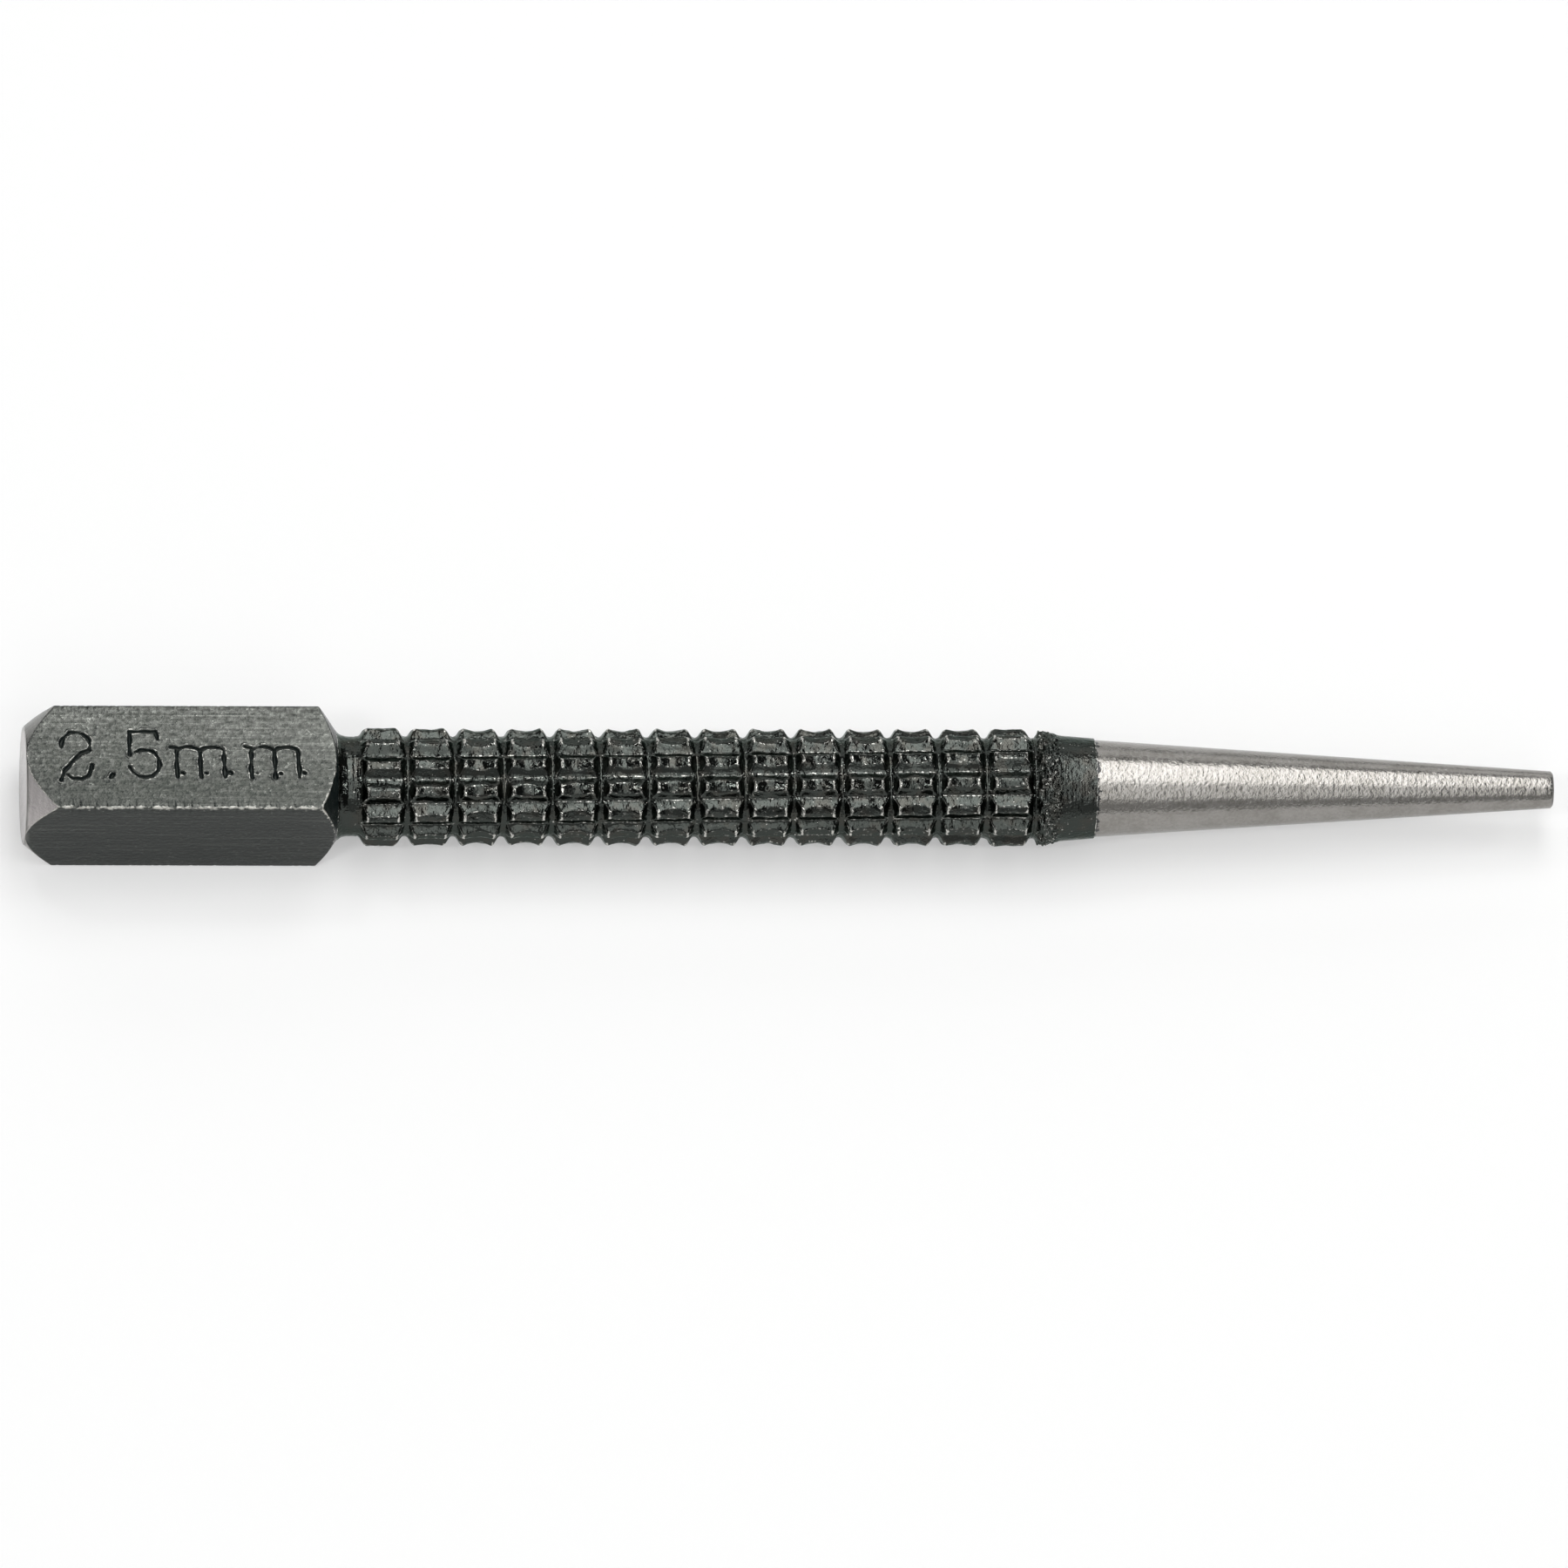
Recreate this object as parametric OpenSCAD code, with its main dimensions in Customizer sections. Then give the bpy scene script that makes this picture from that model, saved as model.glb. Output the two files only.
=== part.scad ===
// Nail setter: one bar of steel in seven named sections along the X axis.
// The origin is the centre of the striking face, +X runs to the point, and +Z is up through a head flat.

/* [Head] */
// Width of the square head across its flats
head_w = 8; // [7.5:0.1:10]
// Radius of the head's four long edges
head_edge_r = 0.15; // [0.05:0.05:0.8]
// Length of the head from the striking face to the neck
head_len = 21.15; // [16:0.05:30]
// Length of the crown, the chamfered end that the hammer strikes
crown_len = 2.1; // [2.1:0.1:5]
// Diameter of the flat striking face
strike_d = 7.95; // [7:0.05:9]
// Angle of the crown's chamfer from the tool's axis
crown_angle = 39; // [39:1:65]
// Height of the shoulder's edge above the neck
shoulder_step = 0.4; // [0.1:0.05:0.8]
// Angle of the shoulder's chamfer from the tool's axis
shoulder_angle = 56; // [40:1:65]

/* [Neck] */
// Diameter of the neck
neck_d = 6.8; // [6:0.1:7]
// Length of the neck, up to the middle of the grip's first groove
neck_len = 1.44; // [1.3:0.01:4]
// Radius of the neck's fillet against the head
neck_fillet_r = 1.15; // [0.8:0.05:1.3]

/* [Grip] */
// Diameter over the crests of the knurled rings
grip_d = 8.1; // [7.9:0.05:9.5]
// Number of full knurled rings
ring_count = 14; // [6:1:20]
// Distance from ring to ring
ring_pitch = 3.28; // [2.6:0.005:4.5]
// Depth of the grooves between the rings, from the crests
groove_depth = 0.65; // [0.5:0.01:0.85]
// Width of a groove at the rings' crests
groove_w = 1.2; // [0.9:0.05:1.6]
// Radius of a groove's round bottom
groove_r = 0.3; // [0.15:0.01:0.35]
// Depth of the hollow rolled into the middle of a ring's crest
crest_hollow = 0.25; // [0.05:0.01:0.35]

/* [Knurl] */
// Number of teeth around the grip
tooth_count = 13; // [11:1:16]
// Angle of a tooth's straight sides from the grip's surface
tooth_angle = 46; // [36:1:48]
// Width of the land that is left along a tooth's crest
tooth_land = 0.34; // [0.1:0.02:0.4]
// Turn of the first ring's teeth about the axis, away from the head's flats
tooth_turn = 22.45; // [0:0.05:30]
// Turn of the teeth back from each ring to the next
tooth_lead = 1; // [0:0.05:2]

/* [Collar] */
// Length of the collar, from the grip's last groove to the bright taper
collar_len = 4.2; // [3:0.1:8]
// Height of the ridge that is left of the last ring, above the collar's band
ridge_rise = 0.23; // [0.1:0.01:0.3]
// Length of the ridge, from the middle of the grip's last groove
ridge_len = 0.85; // [0.75:0.05:1.2]
// Length over which the ridge runs out into the collar's band
runout_len = 1; // [0.4:0.1:1.5]
// Height that the collar's band gains from its edge back to the ridge
band_rise = 0.19; // [0:0.01:0.3]
// Height of the band's edge above the ground taper
band_step = 0.11; // [0.02:0.01:0.2]

/* [Taper and point] */
// Length of the tapered shank
shank_len = 26.29; // [15:0.01:50]
// Diameter of the tapered shank at the collar
shank_d = 6.58; // [5.5:0.02:6.6]
// Length of the cupped point
point_len = 5; // [2:0.5:10]
// Diameter of the point
point_d = 2.5; // [2.2:0.1:3.5]
// Height of the small bevel around the point's rim
rim_bevel = 0.15; // [0.05:0.01:0.2]
// Diameter of the cup in the point
cup_d = 1.6; // [1:0.05:1.7]
// Depth of the cup in the point
cup_depth = 0.4; // [0.2:0.05:0.6]

/* [Hidden] */
$fn = 96;

// Extra reach of a cutting shape past the stock that it cuts
reach = 1;

// Where each section starts along the axis, from the striking face
neck_start = head_len;
grip_start = neck_start + neck_len;
grip_len = ring_count * ring_pitch;
collar_start = grip_start + grip_len;
shank_start = collar_start + collar_len;
point_start = shank_start + shank_len;
tool_len = point_start + point_len;

// Radius that clears the head's corners
head_clear_r = head_w / sqrt(2) + reach;
// Axial runs of the two chamfers out to that radius
shoulder_r = neck_d / 2 + shoulder_step;
crown_run = (head_clear_r - strike_d / 2) / tan(crown_angle);
shoulder_run = (head_clear_r - shoulder_r) / tan(shoulder_angle);

// Run of the neck's fillet from the shoulder down to the neck, a quarter circle at most
fillet_run = sqrt(neck_fillet_r ^ 2 - max(0, neck_fillet_r - shoulder_step) ^ 2);

// Radii at the bottom of the grooves, and along the collar from its edge back to its ridge
groove_mid_r = grip_d / 2 - groove_depth;
band_end_r = shank_d / 2 + band_step;
band_r = band_end_r + band_rise;
ridge_r = band_r + ridge_rise;

// Radii at which a tooth's sides meet: its tip, which the turning cuts off at the land, and the root beside it
tooth_step = 360 / tooth_count;
tooth_tip_r = grip_d / 2 + tan(tooth_angle) * tooth_land / 2;
tooth_root_r = tooth_tip_r / (cos(tooth_step / 2) + tan(tooth_angle) * sin(tooth_step / 2));

// Radius of the cup's ball, from its width and depth
cup_ball_r = (cup_d ^ 2 / 4 + cup_depth ^ 2) / (2 * cup_depth);

// Steel finishes
dark_steel = "#5d605c";
black_steel = "#2b302e";
bright_steel = "#b9b6b0";

// Radius of the ground cone at a place along the axis
function cone_r(at) = point_d / 2 + (shank_d - point_d) / 2 * (tool_len - at) / (tool_len - shank_start);

// Share of the full hollow in one ring's crest: it fades out at both ends of the grip
function hollow_share(ring) = min(1, ring / 2, (ring_count - ring) / 3);

// Turns a shape that is drawn along Z so that it lies along X, starting at a place on the axis
module on_axis(start) {
    translate([start, 0, 0]) rotate([0, 90, 0]) children();
}

// Cross-section of the square bar, with round edges
module bar_section() {
    core_w = head_w - 2 * head_edge_r;
    square([head_w, core_w], center = true);
    square([core_w, head_w], center = true);
    for (side_a = [-1, 1], side_b = [-1, 1])
        translate([side_a, side_b] * core_w / 2) circle(head_edge_r);
}

// The square bar between two places on the axis
module square_bar(from, to) {
    on_axis(from) linear_extrude(to - from) bar_section();
}

// The head as it is turned: a chamfer at each end, wider than the square between them
module head_turning() {
    on_axis(0) rotate_extrude() polygon([
        [0, 0],
        [strike_d / 2, 0],
        [head_clear_r, crown_run],
        [head_clear_r, head_len - shoulder_run],
        [shoulder_r, head_len],
        [0, head_len],
    ]);
}

module striking_crown() {
    color(dark_steel) intersection() {
        square_bar(0, crown_len);
        head_turning();
    }
}

module square_head() {
    color(dark_steel) intersection() {
        square_bar(crown_len, head_len);
        head_turning();
    }
}

module neck() {
    color(black_steel) on_axis(neck_start) rotate_extrude() difference() {
        square([shoulder_r, neck_len]);
        translate([neck_d / 2 + neck_fillet_r, fillet_run]) circle(neck_fillet_r);
        translate([neck_d / 2, fillet_run]) square([shoulder_step + reach, neck_len]);
    }
}

// Outline of one groove between the rings, around its middle: straight flanks that meet a round bottom
module groove_outline() {
    rise = groove_depth - groove_r;
    flank_angle = atan2(rise, groove_w / 2) - acos(groove_r / norm([groove_w / 2, rise]));
    foot = groove_r * [cos(flank_angle), sin(flank_angle)];
    slope = (groove_w / 2 - foot.x) / (rise - foot.y);
    top = [groove_w / 2 + slope * reach, rise + reach];
    translate([groove_mid_r + groove_r, 0]) {
        circle(groove_r);
        polygon([[foot.y, foot.x], [top.y, top.x], [top.y, -top.x], [foot.y, -foot.x]]);
    }
}

// Outline of the hollow in one ring's crest, around the ring's middle
module hollow_outline(depth) {
    half_len = (ring_pitch - groove_w) / 2;
    hollow_r = (half_len ^ 2 + depth ^ 2) / (2 * depth);
    translate([grip_d / 2 - depth + hollow_r, 0]) circle(hollow_r);
}

// Cross-section of the knurl: a star whose points are the teeth
module knurl_section() {
    polygon([for (i = [0 : tooth_count - 1], half = [0, 0.5])
        (half == 0 ? tooth_tip_r : tooth_root_r) * [cos((i + half) * tooth_step), sin((i + half) * tooth_step)]]);
}

// Cutter for the gaps between the teeth of one ring
module tooth_gaps(start, len, ring) {
    on_axis(start) rotate(tooth_turn - ring * tooth_lead) linear_extrude(len) difference() {
        circle(grip_d / 2 + reach);
        knurl_section();
    }
}

// The rings as they are rolled: grooves between them and a hollow along each crest
module ring_turning() {
    on_axis(grip_start) rotate_extrude() difference() {
        square([grip_d / 2, grip_len]);
        for (i = [0 : ring_count]) translate([0, i * ring_pitch]) groove_outline();
        for (i = [0 : ring_count - 1])
            if (hollow_share(i) > 0)
                translate([0, (i + 0.5) * ring_pitch]) hollow_outline(crest_hollow * hollow_share(i));
    }
}

module knurled_grip() {
    color(black_steel) difference() {
        ring_turning();
        for (i = [0 : ring_count - 1])
            tooth_gaps(grip_start + i * ring_pitch + groove_r / 2, ring_pitch - groove_r, i);
    }
}

// The collar as it is turned: what is left of a ring, running out into a tapered band
module collar_turning() {
    on_axis(collar_start) rotate_extrude() difference() {
        polygon([
            [0, 0],
            [ridge_r, 0],
            [ridge_r, ridge_len],
            [band_r, ridge_len + runout_len],
            [band_end_r, collar_len],
            [0, collar_len],
        ]);
        groove_outline();
    }
}

module collar() {
    color(black_steel) difference() {
        collar_turning();
        tooth_gaps(collar_start + groove_r / 2, ridge_len - groove_r / 2, ring_count);
    }
}

module tapered_shank() {
    color(bright_steel) on_axis(shank_start)
        cylinder(h = shank_len, r1 = cone_r(shank_start), r2 = cone_r(point_start));
}

module cupped_point() {
    color(bright_steel) difference() {
        on_axis(point_start) rotate_extrude() polygon([
            [0, 0],
            [cone_r(point_start), 0],
            [cone_r(tool_len - rim_bevel), point_len - rim_bevel],
            [point_d / 2 - rim_bevel, point_len],
            [0, point_len],
        ]);
        translate([tool_len + cup_ball_r - cup_depth, 0, 0]) sphere(cup_ball_r);
    }
}

striking_crown();
square_head();
neck();
knurled_grip();
collar();
tapered_shank();
cupped_point();
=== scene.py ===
# Nail setter: one steel bar with a square head, a waisted neck, a knurled grip, a collar,
# a ground taper and a cupped point. Sizes are in millimetres, and the meshes go to metres at the end.
import math

import bpy
import numpy as np
from mathutils import Matrix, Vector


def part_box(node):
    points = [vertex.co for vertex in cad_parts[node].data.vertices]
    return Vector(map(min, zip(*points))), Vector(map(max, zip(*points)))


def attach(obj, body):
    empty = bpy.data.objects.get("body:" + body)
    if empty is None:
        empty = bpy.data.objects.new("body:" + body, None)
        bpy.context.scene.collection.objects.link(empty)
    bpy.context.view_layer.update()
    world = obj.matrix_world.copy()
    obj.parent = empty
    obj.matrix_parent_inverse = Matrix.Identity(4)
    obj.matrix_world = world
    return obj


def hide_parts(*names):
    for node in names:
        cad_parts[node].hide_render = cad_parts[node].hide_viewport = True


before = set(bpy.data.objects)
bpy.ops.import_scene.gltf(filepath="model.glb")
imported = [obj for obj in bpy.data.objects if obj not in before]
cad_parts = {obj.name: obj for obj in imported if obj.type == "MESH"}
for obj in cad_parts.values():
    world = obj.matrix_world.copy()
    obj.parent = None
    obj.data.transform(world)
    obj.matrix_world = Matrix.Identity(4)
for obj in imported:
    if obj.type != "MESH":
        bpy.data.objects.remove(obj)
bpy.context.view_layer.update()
mm = 0.001
print("frame:", len(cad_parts), "sections of the bar")


# Camera

cameraSet = dict(
    turn=4.85,        # degrees round towards the head's end
    lean=29.6,        # degrees forward from straight above
    roll=0.17,        # degrees that the point hangs lower than the head
    distance=2600.0,
    lens=881.1,
    sensor=36.0,
    imageSize=1800,   # pixels along a side
    aimAlong=51.67,   # place on the axis in the middle of the picture
    axisRow=904.1,    # row of the picture that the axis crosses there
)


def placeCamera(put):
    # back points from the tool to the camera, right is the tool's axis as the picture shows it, rolled,
    # and up = back x right
    turn, lean, roll = [math.radians(put[key]) for key in ("turn", "lean", "roll")]
    back = np.array([-math.sin(turn), -math.cos(turn) * math.sin(lean), math.cos(turn) * math.cos(lean)])
    along = np.array([1.0, 0.0, 0.0]) - back * back[0]
    along /= np.linalg.norm(along)
    right = along * math.cos(roll) + np.cross(back, along) * math.sin(roll)
    up = np.cross(back, right)
    pixelSize = put["distance"] * put["sensor"] / put["lens"] / put["imageSize"]
    aim = np.array([put["aimAlong"], 0.0, 0.0]) + up * (put["axisRow"] - put["imageSize"] / 2) * pixelSize
    place = (aim + back * put["distance"]) * mm
    camera = bpy.data.objects.new("camera", bpy.data.cameras.new("camera"))
    camera.data.lens = put["lens"]
    camera.data.sensor_width = put["sensor"]
    turned = np.eye(4)
    turned[:3, :] = np.stack([right, up, back, place], axis=1)
    camera.matrix_world = Matrix(turned.tolist())
    bpy.context.scene.collection.objects.link(camera)
    bpy.context.scene.camera = camera


placeCamera(cameraSet)
print("camera placed")


# Shader sockets as Python values

class Wire:
    # Wraps one socket of a node tree; arithmetic on it adds Math nodes
    def __init__(self, tree, socket=None):
        self.tree = tree
        self.socket = socket

    def node(self, kind, settings, inputs, output=0):
        # Any node: its type, its settings first, then the values or links of its sockets
        made = self.tree.nodes.new(kind)
        for key, value in settings.items():
            setattr(made, key, value)
        for key, value in inputs.items():
            if isinstance(value, Wire):
                self.tree.links.new(value.socket, made.inputs[key])
            else:
                made.inputs[key].default_value = value
        return Wire(self.tree, made.outputs[output] if made.outputs else None)

    def math(self, operation, first, second):
        return self.node("ShaderNodeMath", {"operation": operation}, {0: first, 1: second})

    def __add__(self, other):
        return self.math("ADD", self, other)

    def __radd__(self, other):
        return self.math("ADD", other, self)

    def __sub__(self, other):
        return self.math("SUBTRACT", self, other)

    def __rsub__(self, other):
        return self.math("SUBTRACT", other, self)

    def __mul__(self, other):
        return self.math("MULTIPLY", self, other)

    def __rmul__(self, other):
        return self.math("MULTIPLY", other, self)

    def max(self, other):
        return self.math("MAXIMUM", self, other)

    def step(self, low, high):
        # 0 below low, 1 above high, and a smooth rise between them
        settings = {"interpolation_type": "SMOOTHSTEP"}
        return self.node("ShaderNodeMapRange", settings, {"Value": self, "From Min": low, "From Max": high})

    def place(self):
        # Place on the piece, from the tool's origin
        return self.node("ShaderNodeTexCoord", {}, {}, "Object")

    def axis(self, number):
        # Place along one of the object's three axes, in metres
        return self.node("ShaderNodeSeparateXYZ", {}, {0: self.place()}, number)

    def field(self, name):
        # A value that the piece's mesh carries at each of its points
        return self.node("ShaderNodeAttribute", {"attribute_name": name}, {}, "Fac")

    def noise(self, grain, detail=3.0, stretch=(1.0, 1.0, 1.0)):
        # Noise with grains of that size in millimetres, drawn out by stretch along each axis
        size = [1.0 / (grain * mm * share) for share in stretch]
        spread = self.node("ShaderNodeMapping", {}, {"Vector": self.place(), "Scale": size})
        inputs = {"Vector": spread, "Scale": 1.0, "Detail": detail, "Roughness": 0.55}
        return self.node("ShaderNodeTexNoise", {}, inputs)

    def blend(self, mask, first, second):
        # Colour that goes from first to second as mask goes from 0 to 1
        settings = {"data_type": "RGBA"}
        return self.node("ShaderNodeMix", settings, {0: mask, 6: first, 7: second}, 2)

    def bump(self, height, depth):
        # Normal of a surface that rises by depth millimetres where height is 1
        return self.node("ShaderNodeBump", {}, {"Height": height, "Strength": 1.0, "Distance": depth * mm})


def newFinish(name):
    # An empty material, and a wire into its node tree
    material = bpy.data.materials.new(name)
    material.use_nodes = True
    material.node_tree.nodes.clear()
    return material, Wire(material.node_tree)


def closeFinish(wire, mask, first, second):
    # Two surface shaders, mixed from the first to the second as mask goes from 0 to 1, joined to the output
    shaders = [wire.node("ShaderNodeBsdfPrincipled", {}, sockets) for sockets in (first, second)]
    mixed = wire.node("ShaderNodeMixShader", {}, {0: mask, 1: shaders[0], 2: shaders[1]})
    wire.node("ShaderNodeOutputMaterial", {}, {"Surface": mixed})


# Finishes

headFinishSet = dict(
    oxide=(0.0005, 0.0035, 0.0045, 1.0),
    paleOxide=(0.0110, 0.0150, 0.0140, 1.0),
    bareSteel=(0.44, 0.415, 0.41, 1.0),
    flatSteel=(0.43, 0.44, 0.405, 1.0),
    wornSteel=(0.54, 0.53, 0.49, 1.0),
    tint=(0.96, 1.0, 0.90, 1.0),
    roughness=0.25,
    gloss=0.25,
    bumpDepth=0.045,
    halfWidth=4.0,    # half the bar's width across its flats
    thinning=0.38,    # most steel that shows through the thin oxide
    flecking=0.14,    # steel that a fleck adds to it
    sideShare=0.06,   # how much of both the sides show
    topSheenShare=0.37,    # painted highlight: how much more steel the top flat shows, where the light falls on it
    farSheenShare=0.55,    # painted highlight: and how much more again towards its far edge
    lining=0.06,      # steel along the drawn lines, on every side
    sideFlecks=0.05,  # steel in the flecks, on every side too
)


def headFinish(put):
    material, wire = newFinish("drawnDarkSteel")
    streaks = wire.noise(0.11, 4.0, (45.0, 1.0, 1.0))  # fine and coarse lines along the bar
    drawn = wire.noise(0.22, 3.0, (40.0, 1.0, 1.0))
    cloud = wire.noise(2.2, 4.0, (2.0, 1.0, 1.0))      # patches that all the rest varies with
    specks = wire.noise(0.26, 3.0)
    mottle = wire.noise(0.31, 4.0, (1.6, 1.0, 1.0))
    turned = wire.noise(0.20, 3.0, (1.0, 14.0, 14.0))  # rings that the turning left on the crown
    nicks = wire.noise(0.24, 5.0, (1.5, 1.0, 1.0))     # breaks in the bare edges
    across, upward = [wire.axis(number) * (1 / (put["halfWidth"] * mm)) for number in (1, 2)]
    far = across.step(-1.02, 1.2)
    top = upward.step(0.90, 0.99)
    worn = (wire.field("edge") + nicks * 2.0 - 1.50).step(0.0, 0.6)
    bared = wire.field("bare")
    bare = bared * (0.40 + 0.3 * cloud + 0.5 * turned)
    thin = (mottle * 1.2 + streaks * 0.4 + cloud * 0.3 - 0.6).step(-0.2, 1.1)
    flecks = (specks + cloud * 0.2 - 0.73).step(0.0, 0.07)
    stamped = wire.field("stamp")
    # painted highlight: the top flat shows more steel where the light falls, its far edge most; the thin
    # oxide's mottle, the flecks and the drawn lines vary at random
    share = put["sideShare"] + top * (put["topSheenShare"] + put["farSheenShare"] * far)
    lines = (drawn * 3.0 + cloud * 0.6 - 1.85).step(0.0, 0.7) * put["lining"]
    lines = lines + flecks * put["sideFlecks"]
    steelAndSheen = ((thin * put["thinning"] + flecks * put["flecking"]) * share + lines) * (1.0 - stamped)
    steel = wire.blend(bared, put["flatSteel"], put["bareSteel"])
    coat = wire.blend((streaks * 0.8 + cloud * 0.5 - 0.3).step(0.1, 0.7), put["oxide"], put["paleOxide"])
    roughness = put["roughness"] + 0.14 * (cloud - 0.5) + 0.12 * stamped
    normal = wire.bump(streaks * 0.2 + specks * 0.35 + mottle * 0.45, put["bumpDepth"])
    closeFinish(wire, worn.max(bare).max(steelAndSheen), {
        "Base Color": coat,
        "Roughness": roughness,
        "Specular IOR Level": put["gloss"],
        "Specular Tint": put["tint"],
        "Normal": normal,
    }, {
        "Base Color": wire.blend(worn, steel, put["wornSteel"]),
        "Metallic": 1.0,
        "Roughness": roughness + 0.2 * worn,
        "Normal": normal,
    })
    return material


blackFinishSet = dict(
    coat=(0.0455, 0.0505, 0.0465, 1.0),
    brownCoat=(0.0510, 0.0515, 0.0460, 1.0),
    rubbed=(0.55, 0.545, 0.51, 1.0),
    edgeTint=(0.58, 0.62, 0.60, 1.0),  # the dark coat's share of a full reflection at a glancing angle
    roughness=0.05,
    bumpDepth=0.13,
    glint=0.8,        # steel that shows in a speck of rubbed coat
)


def blackFinish(put):
    material, wire = newFinish("glossyBlackenedSteel")
    lumps = wire.noise(0.46, 3.0)
    crinkle = wire.noise(0.22, 3.0)
    specks = wire.noise(0.19, 2.0)
    scratches = wire.noise(0.17, 3.0, (1.0, 9.0, 9.0))
    cloud = wire.noise(1.1, 3.0)
    grit = wire.field("rough")
    worn = (wire.field("edge") + crinkle * 2.0 - 1.5).step(0.0, 0.5)
    glints = (specks + grit * 0.14 - 0.72).step(0.0, 0.06)
    shine = worn.max(glints * put["glint"])
    height = lumps * 0.45 + crinkle * 0.12 + (specks * 0.4 + scratches * 0.6) * grit
    coat = wire.blend((cloud - 0.45).step(0.0, 0.2), put["coat"], put["brownCoat"])
    roughness = put["roughness"] + 0.10 * (cloud - 0.4).max(0.0) + 0.10 * grit
    normal = wire.bump(height, put["bumpDepth"])
    closeFinish(wire, shine, {
        "Base Color": coat,
        "Metallic": 1.0,
        "Specular Tint": put["edgeTint"],
        "Roughness": roughness,
        "Normal": normal,
    }, {
        "Base Color": put["rubbed"],
        "Metallic": 1.0,
        "Roughness": roughness + 0.15,
        "Normal": normal,
    })
    return material


brightFinishSet = dict(
    steel=(0.228, 0.218, 0.201, 1.0),
    paleSteel=(0.307, 0.296, 0.280, 1.0),
    # coat: the black coat that strays over the taper, and the painted shade on the point's rim bevel
    coat=(0.0020, 0.0055, 0.0055, 1.0),
    roughness=0.21,
    bumpDepth=0.05,
    coatReach=0.35,   # how far the black coat strays over the taper
)


def brightFinish(put):
    material, wire = newFinish("satinGroundSteel")
    grain = wire.noise(0.24, 3.0)
    dimples = wire.noise(0.42, 3.0)
    rings = wire.noise(0.22, 3.0, (1.0, 4.0, 4.0))
    cloud = wire.noise(1.8, 3.0)
    start = spans["tapered_shank"][0][0]
    strayed = (wire.axis(0) - start * mm) * (1 / (put["coatReach"] * mm))
    # painted shade: the coat's dark colour also goes in a thin ring on the point's rim bevel
    coatAndRimShade = (dimples * 3.2 - 1.2 - strayed).step(0.0, 0.2).max(wire.field("paintedRimShade") * (grain + 0.2))
    steel = wire.blend((grain * 0.6 + cloud * 0.6 - 0.1).step(0.3, 0.7), put["steel"], put["paleSteel"])
    roughness = put["roughness"] + 0.2 * (grain - 0.5) + 0.1 * (cloud - 0.5)
    normal = wire.bump(dimples * 0.4 + rings * 0.15 + grain * 0.45, put["bumpDepth"])
    closeFinish(wire, coatAndRimShade, {
        "Base Color": steel,
        "Metallic": 1.0,
        "Roughness": roughness,
        "Normal": normal,
    }, {
        "Base Color": put["coat"],
        "Roughness": roughness,
        "Normal": normal,
    })
    return material


# Surfaces on a grid

def sectionSpan(node):
    # Lowest and highest corner of a section, in millimetres
    low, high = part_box(node)
    return np.array(low) / mm, np.array(high) / mm


spans = {node: sectionSpan(node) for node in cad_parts}


def smoothMin(first, second, reach):
    # The lesser of two surfaces, with their edge rounded where they are closer than reach
    near = np.maximum(reach - np.abs(first - second), 0.0) / reach
    return np.minimum(first, second) - near * near * reach / 4


def smoothMax(first, second, reach):
    # The greater of two surfaces, rounded in the same way
    return -smoothMin(-first, -second, reach)


def smoothStep(value, low, high):
    # 0 below low, 1 above high, and 3 s^2 - 2 s^3 between them
    share = np.clip((value - low) / (high - low), 0.0, 1.0)
    return share * share * (3 - 2 * share)


def ripple(first, second, seed, count=9):
    # Sum of sine waves of seeded directions and phases, between about -1 and 1
    draw = np.random.default_rng(seed)
    heading = draw.uniform(0, 2 * np.pi, count)
    pitch = draw.uniform(0.6, 1.6, count)
    phase = draw.uniform(0, 2 * np.pi, count)
    total = 0.0
    for turn, rate, shift in zip(heading, pitch, phase):
        total = total + np.sin(rate * (first * np.cos(turn) + second * np.sin(turn)) + shift)
    return total / math.sqrt(2 * count)


def closedMesh(name, points, poles, fields, sharpRows):
    # Points by row and column: the columns go round the axis and wrap, and a fan to a pole closes each end
    rowCount, columnCount = points.shape[:2]
    here = np.arange(rowCount * columnCount).reshape(rowCount, columnCount)
    after = np.roll(here, -1, axis=1)
    quads = np.stack([here[:-1], after[:-1], after[1:], here[1:]], axis=-1).reshape(-1, 4)
    firstPole = np.full(columnCount, here.size)
    startFan = np.stack([after[0], here[0], firstPole], axis=-1)
    endFan = np.stack([here[-1], after[-1], firstPole + 1], axis=-1)
    corners = np.concatenate([points.reshape(-1, 3), np.array(poles, float)])
    mesh = bpy.data.meshes.new(name)
    mesh.from_pydata((corners * mm).tolist(), [], quads.tolist() + startFan.tolist() + endFan.tolist())
    mesh.shade_smooth()
    for key, field in fields.items():
        field = np.broadcast_to(field, (rowCount, columnCount))
        values = np.concatenate([field.ravel(), [field[0].mean(), field[-1].mean()]])
        layer = mesh.attributes.new(key, "FLOAT", "POINT")
        layer.data.foreach_set("value", values.astype(np.float32))
    ends = np.empty(len(mesh.edges) * 2, np.int32)
    mesh.edges.foreach_get("vertices", ends)
    rowOf = ends.reshape(-1, 2) // columnCount
    sharp = (rowOf[:, 0] == rowOf[:, 1]) & np.isin(rowOf[:, 0], np.array(sharpRows) % rowCount)
    layer = mesh.attributes.new("sharp_edge", "BOOLEAN", "EDGE")
    layer.data.foreach_set("value", sharp)
    return mesh


def addPiece(name, node, material, points, fields, sharpRows=(0, -1)):
    # The poles lie on the axis, in the planes of the first and the last row
    ends = [points[0, :, 0].mean(), points[-1, :, 0].mean()]
    mesh = closedMesh(name, points, [(ends[0], 0, 0), (ends[1], 0, 0)], fields, sharpRows)
    mesh.materials.append(material)
    piece = bpy.data.objects.new(name, mesh)
    bpy.context.scene.collection.objects.link(piece)
    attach(piece, "root")
    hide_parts(node)
    print(name, "has", len(mesh.polygons), "faces")


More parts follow.
